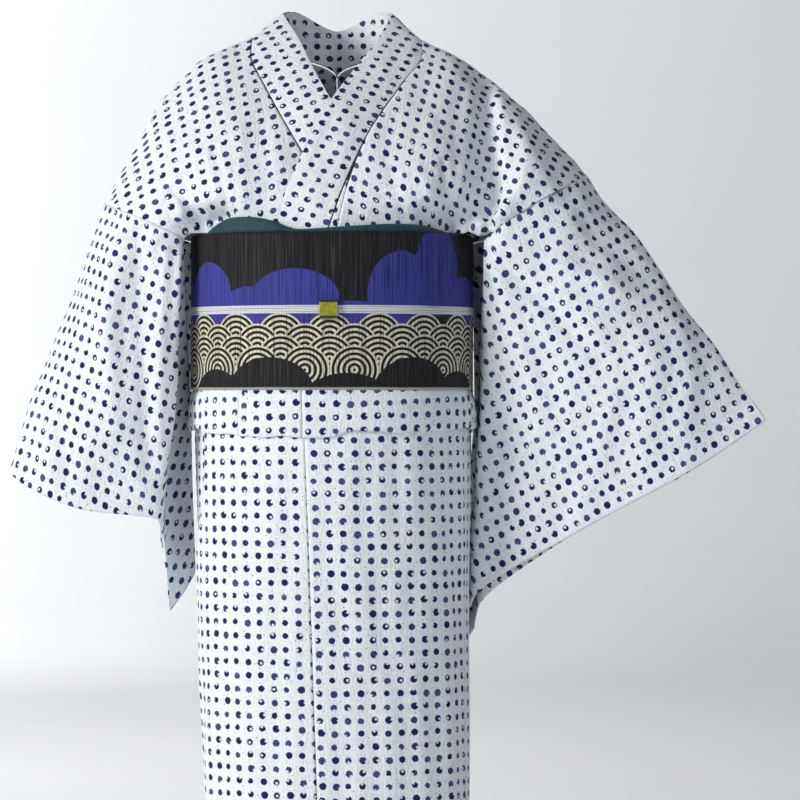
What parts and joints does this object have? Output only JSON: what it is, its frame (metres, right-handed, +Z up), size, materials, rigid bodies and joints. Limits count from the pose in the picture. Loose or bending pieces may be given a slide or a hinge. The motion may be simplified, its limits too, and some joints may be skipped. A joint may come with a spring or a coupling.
{
  "type": "unlined kimono with belt set",
  "caption": "Dotted cotton kimono in its worn form, hollow, left side over right, with a wide belt tied in a drum bow, a scarf, a flat cord and a glass slide.",
  "frame": {"origin": "where the shoulders carry the garment, midway between the neck points of its two shoulders", "axes": "+X to the wearer's left, +Y to the wearer's back, +Z up"},
  "size_m": [0.786, 0.3321, 1.3548],
  "materials": {
    "cotton": "crepe-woven white cotton with rows of navy dots",
    "belt_silk": "ribbed black weave with blue and ivory figures",
    "scarf_silk": "dark teal crepe",
    "cord_silk": "braided white silk",
    "slide_glass": "polished yellow-green glass"
  },
  "bodies": {
    "root": {"bodice_left": "cotton", "bodice_right": "cotton", "collar_left": "cotton", "collar_right": "cotton", "collar_back": "cotton", "overlap_left_upper": "cotton", "sleeve_left": "cotton", "sleeve_right": "cotton", "skirt_front_left": "cotton", "skirt_overlap_left": "cotton", "skirt_front_right": "cotton", "skirt_overlap_right": "cotton", "skirt_back_left": "cotton", "skirt_back_right": "cotton", "tuck_front_left": "cotton", "tuck_overlap_left": "cotton", "tuck_collar_end": "cotton", "tuck_back_left": "cotton", "tuck_back_right": "cotton", "belt_band": "belt_silk", "bow_drum": "belt_silk", "belt_tail": "belt_silk", "belt_hand": "belt_silk", "scarf": "scarf_silk", "belt_cords": "cord_silk", "slide_glass": "slide_glass"}
  },
  "joints": []
}
